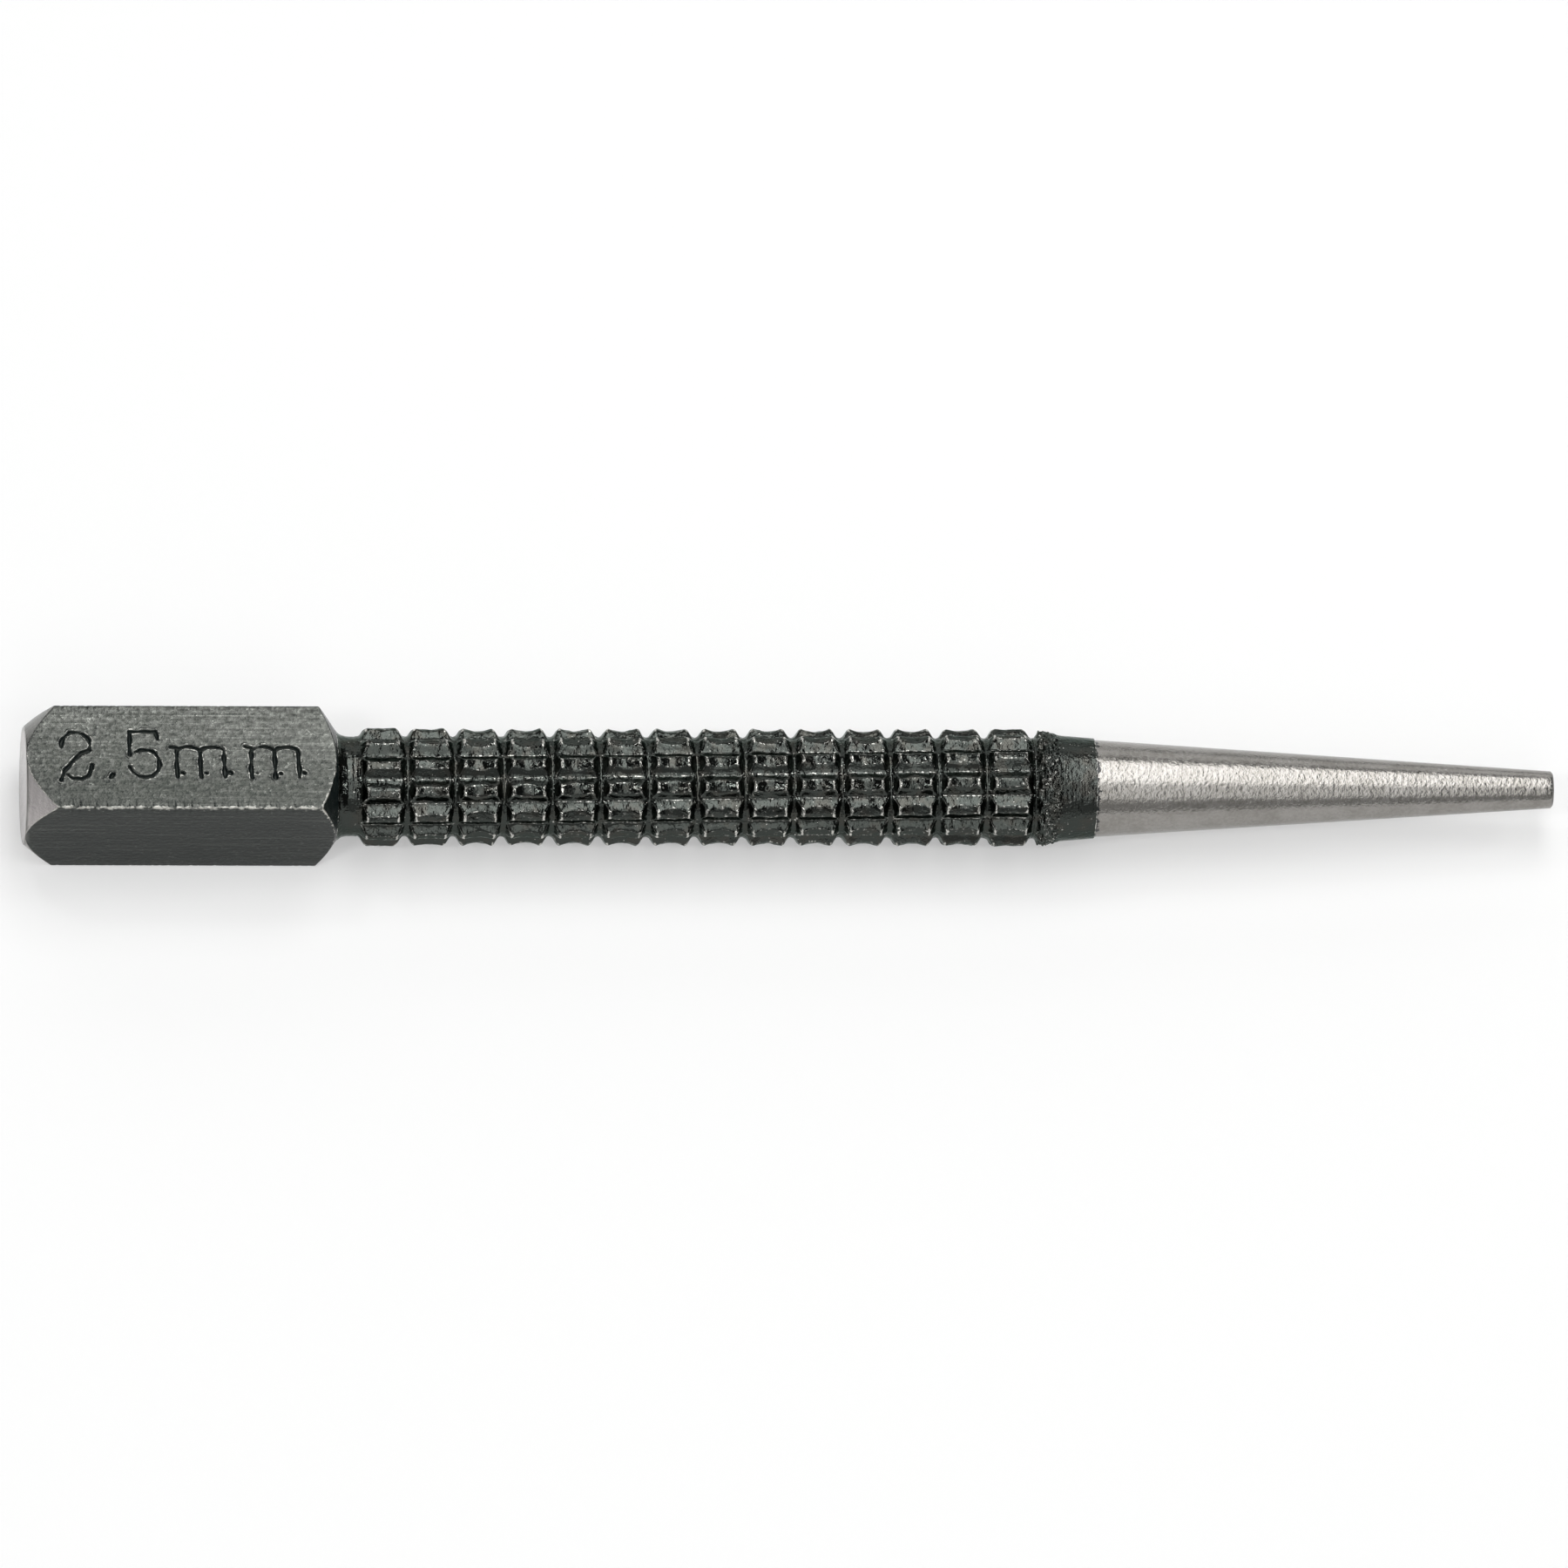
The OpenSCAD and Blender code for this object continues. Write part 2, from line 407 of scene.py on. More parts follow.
def roundedProfile(corners, cuts, steps, arcSteps=5):
    # Places along the axis and radii down a profile of straight runs; where a corner has a cut, a curve
    # (1-s)^2 P + 2s(1-s) C + s^2 Q leads round it, from P to Q, each the cut's length from the corner C
    width = max(np.size(value) for corner in corners for value in corner)
    corners = [np.stack([np.broadcast_to(value, width) for value in corner]) for corner in corners]
    rows = [corners[0]]
    leave = corners[0]
    for i in range(1, len(corners)):
        corner = corners[i]
        into = (corner - corners[i - 1]) / np.linalg.norm(corner - corners[i - 1], axis=0)
        meet = corner - into * cuts[i]
        rows += [leave + (meet - leave) * s for s in np.linspace(0, 1, steps[i - 1] + 1)[1:]]
        leave = meet
        if i < len(corners) - 1 and np.max(cuts[i]) > 0:
            out = (corners[i + 1] - corner) / np.linalg.norm(corners[i + 1] - corner, axis=0)
            leave = corner + out * cuts[i]
            rows += [(1 - s) ** 2 * meet + 2 * s * (1 - s) * corner + s ** 2 * leave
                     for s in np.linspace(0, 1, arcSteps + 1)[1:]]
    rows = np.array(rows)
    return rows[:, 0], rows[:, 1]


def aroundAxis(along, radius, direction):
    # Points at a place along the axis and at a radius, each column in its own direction (y, z)
    along, radius = np.broadcast_arrays(along, radius)
    return np.stack([along, radius * direction[0], radius * direction[1]], axis=-1)


def evenAngles(count):
    return np.arange(count) * 2 * np.pi / count


def directions(angle):
    # Directions (y, z) at angles that run from +Y towards +Z
    return np.stack([np.cos(angle), np.sin(angle)])


def knurlDirections(angle):
    # Directions (y, z) at the knurl's own angles, which run from -Z towards +Y
    return np.stack([np.sin(angle), -np.cos(angle)])


# Square head and its crown

headSet = dict(
    edgeRadius=0.15,
    strikeRadius=3.97,
    crownSlope=math.tan(math.radians(39)),
    shoulderRadius=3.8,
    shoulderSlope=math.tan(math.radians(56)),
    crownRound=0.08,      # how far the crown's edges are rounded
    shoulderRound=0.07,
    topStep=0.043,        # spacing of the grid that the size mark is pressed into
    markReach=2.4,        # half the width of that grid
    markEnd=19.2,
    sideSteps=14,
    arcSteps=8,
    crownSteps=(16, 8, 6),  # rows on the striking face, the chamfer and the flats
    shoulderSteps=(4, 8),   # rows from the mark's end to the shoulder's crease, and on the shoulder
    bendSteps=6,
    poleRadius=0.3,       # innermost row of the striking face
    wearReach=0.20,       # how far the bare metal of a long edge reaches from it
    turnedWear=0.10,      # the same reach on the edges that the turning left
    otherWear=0.35,       # wear of the other long edges beside that of the near top one
    rimDark=0.7,          # oxide that is left in a ring at the striking face's rim
    rimWidth=0.06,
    farDark=0.5,          # oxide that is left on the far side of the chamfer
    farWear=0.55,         # wear of the edges there
    stain=0.4,            # stains on the striking face
    nickDepth=0.07,
    otherNicks=0.4,       # depth of the nicks in the other long edges, beside the near top one
    seed=4,
)

markSet = dict(
    figureFoot=-1.83,     # places across the flat
    figureTop=1.93,
    letterFoot=-1.6,
    letterTop=0.78,
    stems=(0.0, 1.6, 3.22),
    half=0.14,            # half the width of a stroke
    wall=0.12,            # run of a stroke's sloping wall
    depth=0.20,
    lip=0.035,            # metal pushed up beside a stroke
    lipGap=0.05,          # distance of a lip's top from the stroke
    lipWidth=0.06,
    lipWear=0.70,
    unevenness=0.4,
    seed=2,
)


def arcLine(middle, size, start, end, count=12):
    # Points along part of an ellipse, from one angle to another in degrees
    turn = np.radians(np.linspace(start, end, count))
    return [(middle[0] + size[0] * math.cos(a), middle[1] + size[1] * math.sin(a)) for a in turn]


def sizeMark(put):
    # Strokes of the point's size in millimetres, as lines of points (along the axis, across the flat)
    foot, top, low = put["figureFoot"], put["figureTop"], put["letterFoot"]
    two = arcLine((3.36, 0.86), (0.98, 1.02), 188, -20)
    two += [(3.72, 0.24), (3.10, -0.44), (2.58, -1.10), (2.32, foot)]
    twoFoot = [(2.75, -1.40), (3.07, -1.70), (3.73, -1.74), (4.20, -1.46), (4.40, -0.95), (4.43, -0.60)]
    point = [(5.67, -1.66), (5.85, -1.38)]
    fiveTop = [(7.05, top), (8.78, top), (8.92, top - 0.6)]
    fiveStem = [(7.03, top), (7.02, 0.15)]
    five = arcLine((7.99, -0.52), (1.06, 1.07), 125, -166)
    strokes = [two, twoFoot, point, fiveTop, fiveStem, five]
    for start in (10.18, 15.22):
        stems = [start + stem for stem in put["stems"]]
        strokes.append([(start - 0.38, put["letterTop"]), (start + 0.05, put["letterTop"] - 0.1)])
        for stem in stems:
            strokes.append([(stem, put["letterTop"] - 0.4), (stem + 0.03, low)])
            strokes.append([(stem + 0.36, low + 0.36), (stem + 0.42, low + 0.32)])
        for left, right in zip(stems[:-1], stems[1:]):
            span = right - left
            middle = (left + span / 2, put["letterTop"] - 0.38)
            strokes.append(arcLine(middle, (span / 2, 0.38), 158, 0, 9))
    return [np.array(line) for line in strokes]


def strokeDistance(along, across, strokes):
    # Distance of each grid point from the nearest stroke, segment by segment
    nearest = np.full(along.shape, 9.0)
    for line in strokes:
        for (ax, ay), (bx, by) in zip(line[:-1], line[1:]):
            run = np.array([bx - ax, by - ay])
            share = ((along - ax) * run[0] + (across - ay) * run[1]) / (run @ run)
            share = np.clip(share, 0.0, 1.0)
            gap = np.hypot(along - ax - share * run[0], across - ay - share * run[1])
            nearest = np.minimum(nearest, gap)
    return nearest


def squareOutline(half, put):
    # Points (y, z) round the bar's section: four flats, the top one with the fine grid, and round edges
    flat = half - put["edgeRadius"]
    fine = np.arange(-put["markReach"], put["markReach"] + 0.001, put["topStep"])
    rest = np.linspace(put["markReach"], flat, 6)[1:]
    topPlaces = np.concatenate([-rest[::-1], fine, rest])
    sidePlaces = np.linspace(-flat, flat, put["sideSteps"])
    bend = np.linspace(0.5 * np.pi, np.pi, put["arcSteps"] + 1)[1:-1]
    edge = np.stack([-flat + put["edgeRadius"] * np.cos(bend), flat + put["edgeRadius"] * np.sin(bend)])
    parts = []
    for i, places in enumerate([topPlaces, sidePlaces, sidePlaces, sidePlaces]):
        part = np.concatenate([np.stack([-places, np.full(places.size, half)]), edge], axis=1)
        for _ in range(i):
            part = np.stack([-part[1], part[0]])
        parts.append(part)
    return np.concatenate(parts, axis=1)


def edgeWear(outline, half, gap, put):
    # 1 on the near top edge and where gap, the distance from a turned edge, is 0, and less on the other
    # long edges
    shortSide = half - np.min(np.abs(outline), axis=0)
    nearTop = (outline[0] < 0) & (outline[1] > 0)
    long = np.exp(-(shortSide / put["wearReach"]) ** 2) * np.where(nearTop, 1.0, put["otherWear"])
    frontShare = smoothStep(-outline[0] / half, -0.6, 0.9) * smoothStep(outline[1] / half, 0.0, 0.9)
    turned = np.exp(-(gap / put["turnedWear"]) ** 2) * (0.5 + 0.5 * frontShare)
    return np.maximum(np.broadcast_to(long, turned.shape), turned)


def nickEdges(points, outline, half, put):
    # Dents along the bar's long edges: each edge point moves towards the axis where seeded waves are high
    shortSide = half - np.min(np.abs(outline), axis=0)
    onEdge = np.exp(-(shortSide / put["wearReach"]) ** 2)
    corner = np.sign(outline[0]) * 2 + np.sign(outline[1])
    waves = ripple(points[:, :, 0] * 11, corner * 40 + 0 * points[:, :, 0], put["seed"])
    nearTop = (outline[0] < 0) & (outline[1] > 0)
    dent = put["nickDepth"] * onEdge * np.clip(waves - 0.2, 0.0, 1.0)
    dent = dent * np.where(nearTop, 1.0, put["otherNicks"])
    points[:, :, 1:] *= (1 - dent / np.hypot(*outline))[:, :, None]


def makeCrown(put, material):
    # r = the bar's outline, cut down by the cone r = strikeRadius + crownSlope x
    low, high = spans["striking_crown"]
    outline = squareOutline(high[2], put)
    reach = np.hypot(*outline)
    crease = low[0] + (reach - put["strikeRadius"]) / put["crownSlope"]
    chamfer = np.hypot(crease - low[0], reach - put["strikeRadius"])
    cut = np.minimum(put["crownRound"], 0.45 * chamfer)
    corners = [
        (low[0], put["poleRadius"]),
        (low[0], put["strikeRadius"]),
        (crease, reach),
        (high[0], reach),
    ]
    along, radius = roundedProfile(corners, [0, cut, cut, 0], put["crownSteps"], put["bendSteps"])
    rim = np.hypot(along - low[0], radius - put["strikeRadius"])
    beyond = smoothStep(along - crease, 0.0, 0.09)
    onStrike = 1 - smoothStep(along - low[0], 0.02, 0.10)
    far = smoothStep(outline[0] / reach, 0.1, 0.4) * smoothStep(along, 0.05, 0.2)
    onEdge = (along > crease - 0.1) & (radius > put["strikeRadius"] - 0.12)
    wear = edgeWear(outline, high[2], along - crease, put) * onEdge
    rimDark = put["rimDark"] * np.exp(-((rim - 0.1) / put["rimWidth"]) ** 2)
    points = aroundAxis(along, radius, outline / reach)
    struck = np.clip(ripple(points[:, :, 1] * 5, points[:, :, 2] * 5, put["seed"] + 1), 0, 1)
    bare = (1 - beyond) * (1 - rimDark) * (1 - put["farDark"] * far)
    bare = bare * (1 + (0.3 - put["stain"] * struck) * onStrike)
    fields = {"edge": wear * (1 - (1 - put["farWear"]) * far), "bare": bare, "stamp": 0.0}
    addPiece("struck_crown", "striking_crown", material, points, fields, (-1,))


def makeHead(put, mark, material):
    # r = the bar's outline, cut down by the cone r = shoulderRadius + shoulderSlope (end - x);
    # on the top flat, z drops by the depth of the size mark
    low, high = spans["square_head"]
    outline = squareOutline(high[2], put)
    reach = np.hypot(*outline)
    crease = high[0] - (reach - put["shoulderRadius"]) / put["shoulderSlope"]
    cut = np.minimum(put["shoulderRound"], 0.4 * (high[0] - crease))
    corners = [
        (low[0], reach),
        (put["markEnd"], reach),
        (crease, reach),
        (high[0], put["shoulderRadius"]),
    ]
    markSteps = round((put["markEnd"] - low[0]) / put["topStep"])
    steps = (markSteps, *put["shoulderSteps"])
    along, radius = roundedProfile(corners, [0, 0, cut, 0], steps, put["bendSteps"])
    points = aroundAxis(along, radius, outline / reach)
    onTop = (outline[1] > high[2] - 0.01) & (np.abs(outline[0]) <= put["markReach"])
    across = points[:, onTop, 1]
    gap = strokeDistance(points[:, onTop, 0], across, sizeMark(mark))
    uneven = ripple(points[:, onTop, 0] * 5, across * 5, mark["seed"])
    half = mark["half"] * (1 + mark["unevenness"] * uneven)
    pressed = smoothStep(half - gap, 0.0, mark["wall"])
    beside = np.exp(-((gap - half - mark["lipGap"]) / mark["lipWidth"]) ** 2)
    points[:, onTop, 2] += mark["lip"] * beside * np.clip(uneven, 0, 1) - mark["depth"] * pressed
    onBar = 1 - smoothStep(along - crease, 0.05, 0.15)
    edge = edgeWear(outline, high[2], along - crease, put) * onBar
    edge[:, onTop] = np.maximum(edge[:, onTop], mark["lipWear"] * beside)
    stamp = np.zeros(along.shape)
    stamp[:, onTop] = pressed
    nickEdges(points, outline, high[2], put)
    addPiece("stamped_head", "square_head", material, points,
             {"edge": edge, "bare": 0.0, "stamp": stamp})


headMaterial = headFinish(headFinishSet)
makeCrown(headSet, headMaterial)
makeHead(headSet, markSet, headMaterial)


# Neck

neckSet = dict(
    neckRadius=3.4,
    filletRadius=1.15,
    columns=256,
    filletSteps=20,
    plainSteps=16,
    turningMarks=0.02,    # height of the marks that the turning left
    wear=0.8,             # bare metal along the shoulder's foot
    wearReach=0.06,
    grit=0.12,
    seed=11,
)


def makeNeck(put, material):
    # r = a circle's arc from the shoulder down to the neck's own radius, then level, less the turning marks
    low, high = spans["neck"]
    middle = put["neckRadius"] + put["filletRadius"]
    startTurn = math.acos((middle - headSet["shoulderRadius"]) / put["filletRadius"])
    turn = np.linspace(startTurn, 0.0, put["filletSteps"] + 1)
    run = put["filletRadius"] * (math.sin(startTurn) - np.sin(turn))
    level = np.linspace(low[0] + run[-1], high[0], put["plainSteps"] + 1)[1:]
    fillet = middle - put["filletRadius"] * np.cos(turn)
    along = np.concatenate([low[0] + run, level])[:, None]
    radius = np.concatenate([fillet, np.full(level.size, put["neckRadius"])])[:, None]
    angle = evenAngles(put["columns"])
    fine = ripple(along * 16, 3 * np.sin(angle), put["seed"])
    coarse = ripple(along * 9, 7 * np.cos(angle), put["seed"] + 1)
    inside = smoothStep(along - low[0], 0.05, 0.25) * smoothStep(high[0] - along, 0.0, 0.15)
    radius = radius - put["turningMarks"] * inside * (1 + 0.5 * (fine + coarse))
    points = aroundAxis(along, radius, directions(angle))
    edge = put["wear"] * np.exp(-((along - low[0]) / put["wearReach"]) ** 2)
    addPiece("waisted_neck", "neck", material, points, {"edge": edge, "rough": put["grit"]})


blackMaterial = blackFinish(blackFinishSet)
makeNeck(neckSet, blackMaterial)


# Knurled grip

gripSet = dict(
    crestRadius=4.075,
    ringCount=14,
    grooveDepth=0.675,
    grooveWidth=1.2,
    grooveRadius=0.3,
    hollow=0.25,
    toothCount=13,
    toothSlope=math.tan(math.radians(54)),
    toothLand=0.42,
    toothTurn=22.45,
    toothLead=1.0,        # degrees that the teeth turn back from each ring to the next
    rootRound=0.47,       # how far the sharp roots between the teeth are filled
    ringRound=0.30,       # how far the rings' edges are rounded
    edgeRound=0.15,       # how far the teeth's crests are rounded
    lumps=0.06,
    largestRadius=4.044,
    unevenHeight=0.02,    # spread of the teeth's heights
    unevenTurn=0.5,       # spread of the teeth's places, in degrees
    unevenCrest=0.015,    # what the rolling took off some crests
    onLand=(0.0, 0.45, 0.85, 1.0),               # columns from a tooth's middle to its crest's edge
    onSide=(0.10, 0.38, 0.66, 0.80, 0.91, 1.0),  # columns from there to the root
    toothWear=0.65,       # bare metal along the sides of the crests, and how far it reaches
    toothWearReach=0.10,
    ringWear=0.95,        # the same along the rings' edges
    ringWearReach=0.12,
    crestWear=0.30,       # the same all over the crests
    rootSheen=0.68,        # painted highlight: bare metal along the roots, standing for the light that the root fillets reflect
    rootSheenReach=0.06,
    grit=0.12,
    seed=7,
)


def gripRows(put, pitch):
    # Distances from a groove's middle to a ring's middle, close together round the groove and at the
    # crest's edge
    half = pitch / 2
    edge = put["grooveWidth"] / 2
    return np.array([0.0, 0.12, 0.22, 0.32, 0.42, edge - 0.10, edge - 0.04, edge + 0.01, edge + 0.06,
                     edge + 0.13, edge + 0.24, edge + 0.38, edge + 0.54, edge + 0.70, edge + 0.87, half])


def grooveProfile(gap, put):
    # Radius at a distance from a groove's middle: a circle's arc, then the straight flank tangent to it
    bottom = put["crestRadius"] - put["grooveDepth"]
    radius, half = put["grooveRadius"], put["grooveWidth"] / 2
    rise = put["grooveDepth"] - radius
    footTurn = math.atan2(rise, half) - math.acos(radius / math.hypot(half, rise))
    footX, footY = radius * math.cos(footTurn), radius * math.sin(footTurn)
    slope = (rise - footY) / (half - footX)
    arc = bottom + radius - np.sqrt(np.maximum(radius ** 2 - np.minimum(gap, footX) ** 2, 0.0))
    return arc + slope * np.maximum(gap - footX, 0.0)


def ringProfile(along, put, start, pitch):
    # Radius of the rings as rolled: the grooves, and a circle's arc hollowed out of each crest
    ring = np.clip(np.floor((along - start) / pitch), 0, put["ringCount"] - 1)
    fromMiddle = along - start - (ring + 0.5) * pitch
    share = np.minimum(np.minimum(1.0, ring / 2), (put["ringCount"] - ring) / 3)
    depth = put["hollow"] * np.maximum(share, 0.1)
    half = (pitch - put["grooveWidth"]) / 2
    radius = (half ** 2 + depth ** 2) / (2 * depth)
    crest = put["crestRadius"] - depth + radius - np.sqrt(np.maximum(radius ** 2 - fromMiddle ** 2, 0.0))
    groove = grooveProfile(pitch / 2 - np.abs(fromMiddle), put)
    return smoothMin(crest, groove, put["ringRound"]), ring


def toothSides(put):
    # Half the angle from tooth to tooth, and the radii of a tooth's tip and of the root beside it
    half = math.pi / put["toothCount"]
    tip = put["crestRadius"] + put["toothSlope"] * put["toothLand"] / 2
    root = tip / (math.cos(half) + put["toothSlope"] * math.sin(half))
    return half, tip, root


def toothProfile(turn, put):
    # Radius of the toothed bar at an angle a from a tooth's middle. A side is the straight line from the
    # tip t to the root q, half a tooth h apart: r = t q sin h / (t sin a + q sin(h - a)). The root is filled
    # to a small round
    half, tip, root = toothSides(put)

    def side(angle):
        return tip * root * math.sin(half) / (tip * np.sin(angle) + root * np.sin(half - angle))

    turn = np.abs(turn)
    return smoothMax(side(turn), side(2 * half - turn), put["rootRound"])


def crestShare(radius, put):
    # Share of half a tooth, from its middle, at which its side has a radius: the same line solved for a
    half, tip, root = toothSides(put)
    sine, cosine = tip - root * math.cos(half), root * math.sin(half)
    reach = math.hypot(sine, cosine)
    value = tip * root * math.sin(half) / (radius * reach)
    return (np.arcsin(np.clip(value, -1, 1)) - math.atan2(cosine, sine)) / half


def makeGrip(put, material):
    # r = the lesser of the rings and the toothed bar; the columns of a tooth follow the edge of its crest
    low, high = spans["knurled_grip"]
    pitch = (high[0] - low[0]) / put["ringCount"]
    gaps = gripRows(put, pitch)
    oneRing = np.concatenate([gaps, pitch - gaps[-2:0:-1]])
    along = (low[0] + np.arange(put["ringCount"])[:, None] * pitch + oneRing).ravel()
    along = np.append(along, high[0])[:, None]
    rings, ring = ringProfile(along, put, low[0], pitch)

    half = toothSides(put)[0]
    crestEdge = np.clip(crestShare(rings, put), 0.1, 0.8)
    onLand, onSide = np.array(put["onLand"]), np.array(put["onSide"])
    halfTooth = np.concatenate([crestEdge * onLand, crestEdge + (1 - crestEdge) * onSide], axis=1)
    tooth = np.concatenate([-halfTooth[:, :0:-1], halfTooth[:, :-1]], axis=1) * half
    turn = np.tile(tooth, put["toothCount"])
    number = np.repeat(np.arange(put["toothCount"]), tooth.shape[1])

    draw = np.random.default_rng(put["seed"])
    uneven = draw.normal(0, 1, (put["ringCount"], put["toothCount"]))
    tallness = uneven[ring.astype(int), number[None, :]]
    teeth = toothProfile(turn, put) + put["unevenHeight"] * tallness
    sway = math.radians(put["unevenTurn"]) * np.roll(tallness, 3, axis=0)
    swayed = turn + sway * (1 - (turn / half) ** 2)
    firstTurn = math.radians(put["toothTurn"]) - math.radians(put["toothLead"]) * ring
    angle = firstTurn + number * 2 * half + swayed
    wave = ripple(along * 8, angle * 32, put["seed"])
    dent = ripple(along * 5, angle * 20, put["seed"] + 1)
    fine = ripple(along * 15, angle * 60, put["seed"] + 2)
    crest = rings - put["unevenCrest"] * np.abs(np.roll(tallness, 5, axis=1))
    crest = crest - put["lumps"] * (1 + wave + 0.4 * fine) / 2
    teeth = teeth + put["lumps"] * (0.6 * dent + 0.25 * fine)
    radius = smoothMin(np.minimum(teeth, put["crestRadius"] + 0.2), crest, put["edgeRound"])
    radius = np.minimum(radius, put["largestRadius"])
    points = aroundAxis(along, radius, knurlDirections(angle))

    # Bare metal where hands and the rolling rub: both edges of the crests and the crests; along the roots, a
    # painted highlight
    toothEdge = np.maximum(1 - np.abs(teeth - rings) / put["toothWearReach"], 0.0)
    ringGap = np.abs(np.abs((along - low[0]) % pitch - pitch / 2) - (pitch - put["grooveWidth"]) / 2)
    ringEdge = np.exp(-(ringGap / put["ringWearReach"]) ** 2) * smoothStep(teeth - rings, -0.25, 0.0)
    onCrest = smoothStep(teeth - rings, 0.02, 0.15) * smoothStep(rings, 3.70, 3.80)
    # painted highlight: a thin line of bare metal along each root
    rootGap = (half - np.abs(turn)) * radius
    paintedRootHighlight = np.exp(-(rootGap / put["rootSheenReach"]) ** 2) * smoothStep(rings - radius, 0.05, 0.2)
    edge = np.maximum(put["toothWear"] * toothEdge, put["ringWear"] * ringEdge)
    edge = np.maximum(edge, np.maximum(put["crestWear"] * onCrest, put["rootSheen"] * paintedRootHighlight))
    fields = {"edge": edge, "rough": put["grit"]}
    addPiece("rolled_grip", "knurled_grip", material, points, fields)


makeGrip(gripSet, blackMaterial)


# Collar

collarSet = dict(
    ridgeRadius=3.82,
    ridgeLength=0.85,
    bandRadius=3.59,
    runOut=1.0,
    bandEndRadius=3.40,
    columns=360,
    rows=100,
    edgeRound=0.08,       # how far the ridge's edges are rounded
    roughness=0.075,      # height of the ridge's grain
    toothFade=0.3,        # length over which the teeth end
    ridgeWear=0.4,
    edgeWear=0.75,        # bare metal along the band's edge, and how far it reaches
    edgeWearReach=0.08,
    seeds=(3, 5),         # of the coarse and of the fine grain
)


def makeCollar(put, grip, material):
    # r = the last groove's flank, the ridge, its run-out and the tapered band; the teeth cut the ridge only
    low, high = spans["collar"]
    along = np.linspace(low[0], high[0], put["rows"])[:, None]
    gap = along - low[0]
    places = [0.0, put["ridgeLength"], put["ridgeLength"] + put["runOut"], high[0] - low[0]]
    radii = [put["ridgeRadius"], put["ridgeRadius"], put["bandRadius"], put["bandEndRadius"]]
    turned = np.interp(gap, places, radii)
    turned = smoothMin(turned, grooveProfile(gap, grip), put["edgeRound"])
    angle = evenAngles(put["columns"])
    step = 2 * np.pi / grip["toothCount"]
    first = math.radians(grip["toothTurn"] - grip["toothLead"] * grip["ringCount"])
    turn = (angle - first + step / 2) % step - step / 2
    fade = smoothStep(gap, put["ridgeLength"] - put["toothFade"], put["ridgeLength"])
    radius = smoothMin(turned, toothProfile(turn, grip) + fade, put["edgeRound"])
    onRidge = smoothStep(gap, 0.1, 0.4) * (1 - smoothStep(gap, 1.3, 2.0))
    coarse = ripple(along * 12, angle * 38, put["seeds"][0])
    fine = ripple(along * 22, angle * 70, put["seeds"][1])
    radius = radius + put["roughness"] * onRidge * (coarse + 0.5 * fine)
    edge = put["edgeWear"] * np.exp(-((along - high[0]) / put["edgeWearReach"]) ** 2)
    edge = onRidge * put["ridgeWear"] + edge
    rough = np.maximum(0.5 * onRidge, 0.22 + 0.25 * (1 - smoothStep(gap, 1.6, 3.0)))
    points = aroundAxis(along, radius, knurlDirections(angle))
    addPiece("coated_collar", "collar", material, points, {"edge": edge, "rough": rough})


makeCollar(collarSet, gripSet, blackMaterial)


# Taper and cupped point

taperSet = dict(
    startRadius=3.29,
    endRadius=1.25,
    columns=192,
    rows=60,
    rimBevel=0.15,
    rimSteps=(16, 2, 3),  # rows on the taper's end, the bevel and the rim
    bendSteps=4,
    cupRadius=0.8,
    cupDepth=0.4,
    cupSteps=8,
)


def taperRadius(along, put):
    # Radius of the ground cone at a place along the axis, in a straight line from its start to the tip
    start, end = spans["tapered_shank"][0][0], spans["cupped_point"][1][0]
    return put["startRadius"] + (put["endRadius"] - put["startRadius"]) * (along - start) / (end - start)


def makeTaper(put, material):
    # r falls in a straight line from the collar to the point
    low, high = spans["tapered_shank"]
    along = np.linspace(low[0], high[0], put["rows"])[:, None]
    along = np.broadcast_to(along, (put["rows"], put["columns"]))
    points = aroundAxis(along, taperRadius(along, put), directions(evenAngles(put["columns"])))
    addPiece("ground_taper", "tapered_shank", material, points, {"paintedRimShade": 0.0})


def makePoint(put, material):
    # The taper's end, a bevelled rim, and a cup that is part of a sphere
    low, high = spans["cupped_point"]
    tip = high[0]
    ball = (put["cupRadius"] ** 2 + put["cupDepth"] ** 2) / (2 * put["cupDepth"])
    corners = [
        (low[0], taperRadius(low[0], put)),
        (tip - put["rimBevel"], taperRadius(tip - put["rimBevel"], put)),
        (tip, put["endRadius"] - put["rimBevel"]),
        (tip, put["cupRadius"]),
    ]
    along, radius = roundedProfile(corners, [0, 0.05, 0.04, 0], put["rimSteps"], put["bendSteps"])
    turn = np.linspace(math.asin(put["cupRadius"] / ball), 0.06, put["cupSteps"] + 1)[1:]
    cupAlong = tip - put["cupDepth"] + ball * (1 - np.cos(turn))
    along = np.concatenate([along[:, 0], cupAlong])[:, None]
    radius = np.concatenate([radius[:, 0], ball * np.sin(turn)])[:, None]
    along = np.broadcast_to(along, (along.size, put["columns"]))
    points = aroundAxis(along, radius, directions(evenAngles(put["columns"])))
    # painted shade: a thin dark ring round the rim's bevel, in the black coat's colour
    paintedRimShadeMask = np.exp(-((along - tip + 0.5 * put["rimBevel"]) / (0.4 * put["rimBevel"])) ** 2)
    addPiece("cup_point", "cupped_point", material, points, {"paintedRimShade": paintedRimShadeMask}, (0,))


brightMaterial = brightFinish(brightFinishSet)
makeTaper(taperSet, brightMaterial)
makePoint(taperSet, brightMaterial)


# Floor and light

stageSet = dict(
    floorSize=8.0,
    floorColour=(0.70, 0.70, 0.695, 1.0),
    groundColour=(0.62, 0.62, 0.617, 1.0),  # the share of the ground that keeps the shadow
    groundGlow=0.36,                        # the share that camera and glossy rays see as white
    world=(0.08, 0.082, 0.082, 1.0),
    lampAim=(0.05, 0.0, 0.0),
)

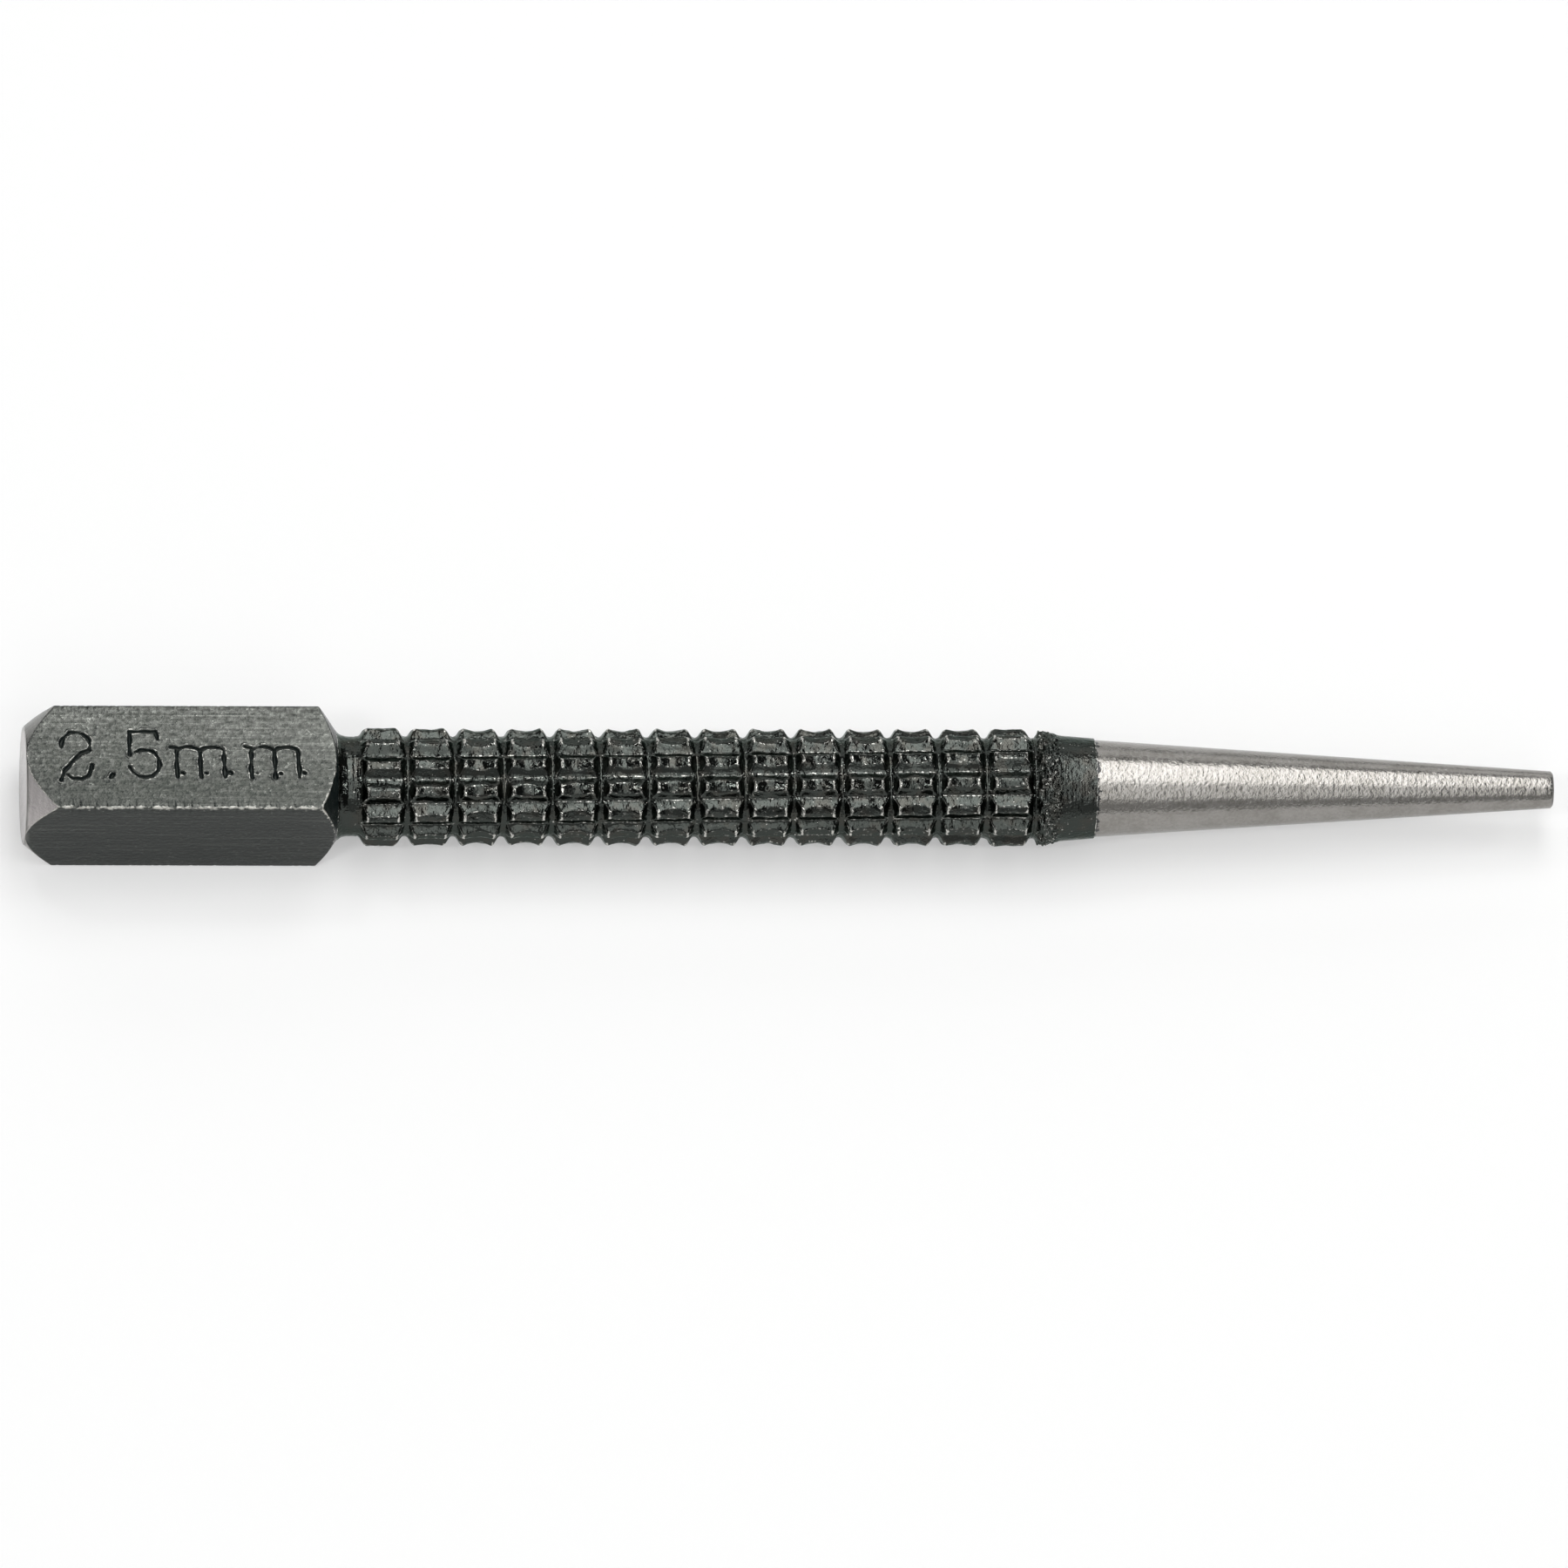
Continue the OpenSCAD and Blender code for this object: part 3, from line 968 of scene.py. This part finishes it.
lampSets = [
    # Degrees to the right, degrees up from the front over the top, metres away, width and height in
    # metres, and radiance
    dict(name="overhead_softbox", right=8.5, rise=108.0, away=0.58, size=(0.22, 0.516), level=4.2),
    dict(name="front_top", right=8.0, rise=79.0, away=0.95, size=(0.36, 0.19), level=3.4),
    dict(name="front_middle", right=5.0, rise=52.0, away=0.95, size=(0.42, 0.72), level=1.95),
    dict(name="front_low", right=0.0, rise=15.0, away=3.0, size=(3.0, 1.7), level=0.40),
    dict(name="back_panel", right=0.0, rise=159.0, away=1.6, size=(2.2, 0.85), level=1.0),
    dict(name="left_panel", right=-74.0, rise=80.0, away=1.5, size=(0.85, 1.6), level=0.75),
    dict(name="left_lamp", right=-28.0, rise=63.5, away=0.60, size=(0.14, 0.065), level=18.0),
    dict(name="left_side", right=-42.0, rise=96.0, away=0.60, size=(0.06, 0.22), level=3.5),
    dict(name="left_back_lamp", right=-20.0, rise=119.0, away=0.60, size=(0.08, 0.05), level=18.0),
    dict(name="right_lamp", right=49.0, rise=62.0, away=0.60, size=(0.10, 0.05), level=16.0),
    dict(name="right_back_lamp", right=50.0, rise=108.0, away=0.60, size=(0.08, 0.05), level=14.0),
]


def makeFloor(put):
    # One square at the height of the tool's lowest point, and the world's even light
    half = put["floorSize"] / 2
    lowest = min(low[2] for low, high in spans.values()) * mm
    mesh = bpy.data.meshes.new("floor")
    corners = [(-half, -half, lowest), (half, -half, lowest), (half, half, lowest), (-half, half, lowest)]
    mesh.from_pydata(corners, [], [(0, 1, 2, 3)])
    floor = bpy.data.objects.new("floor", mesh)
    bpy.context.scene.collection.objects.link(floor)
    material, wire = newFinish("paleFloor")
    plain = {"Base Color": put["floorColour"], "Roughness": 0.9, "Specular IOR Level": 0.0}
    white = {"Emission Color": (1.0, 1.0, 1.0, 1.0), "Emission Strength": put["groundGlow"]}
    rays = [wire.node("ShaderNodeLightPath", {}, {}, ray)
            for ray in ("Is Camera Ray", "Is Glossy Ray", "Is Transmission Ray")]
    mask = rays[0].max(rays[1]).max(rays[2])
    closeFinish(wire, mask, plain, {**plain, **white, "Base Color": put["groundColour"]})
    mesh.materials.append(material)
    world = bpy.data.worlds.new("studio")
    world.use_nodes = True
    world.node_tree.nodes["Background"].inputs["Color"].default_value = put["world"]
    bpy.context.scene.world = world


def makeLamp(put, aim):
    # An area lamp that faces the tool; its power is its radiance times pi times its area
    lamp = bpy.data.lights.new(put["name"], "AREA")
    lamp.shape = "RECTANGLE"
    lamp.size, lamp.size_y = put["size"]
    lamp.energy = put["level"] * math.pi * lamp.size * lamp.size_y
    made = bpy.data.objects.new(put["name"], lamp)
    right, rise = math.radians(put["right"]), math.radians(put["rise"])
    back = np.array([math.sin(right), -math.cos(right) * math.cos(rise), math.cos(right) * math.sin(rise)])
    tall = np.array([0.0, math.sin(rise), math.cos(rise)])
    place = np.array(aim) + back * put["away"]
    turned = np.eye(4)
    turned[:3, :] = np.stack([np.cross(tall, back), tall, back, place], axis=1)
    made.matrix_world = Matrix(turned.tolist())
    bpy.context.scene.collection.objects.link(made)


makeFloor(stageSet)
for lampSet in lampSets:
    makeLamp(lampSet, stageSet["lampAim"])
bpy.context.scene.view_settings.view_transform = "Standard"
print("floor, world and", len(lampSets), "lamps placed")
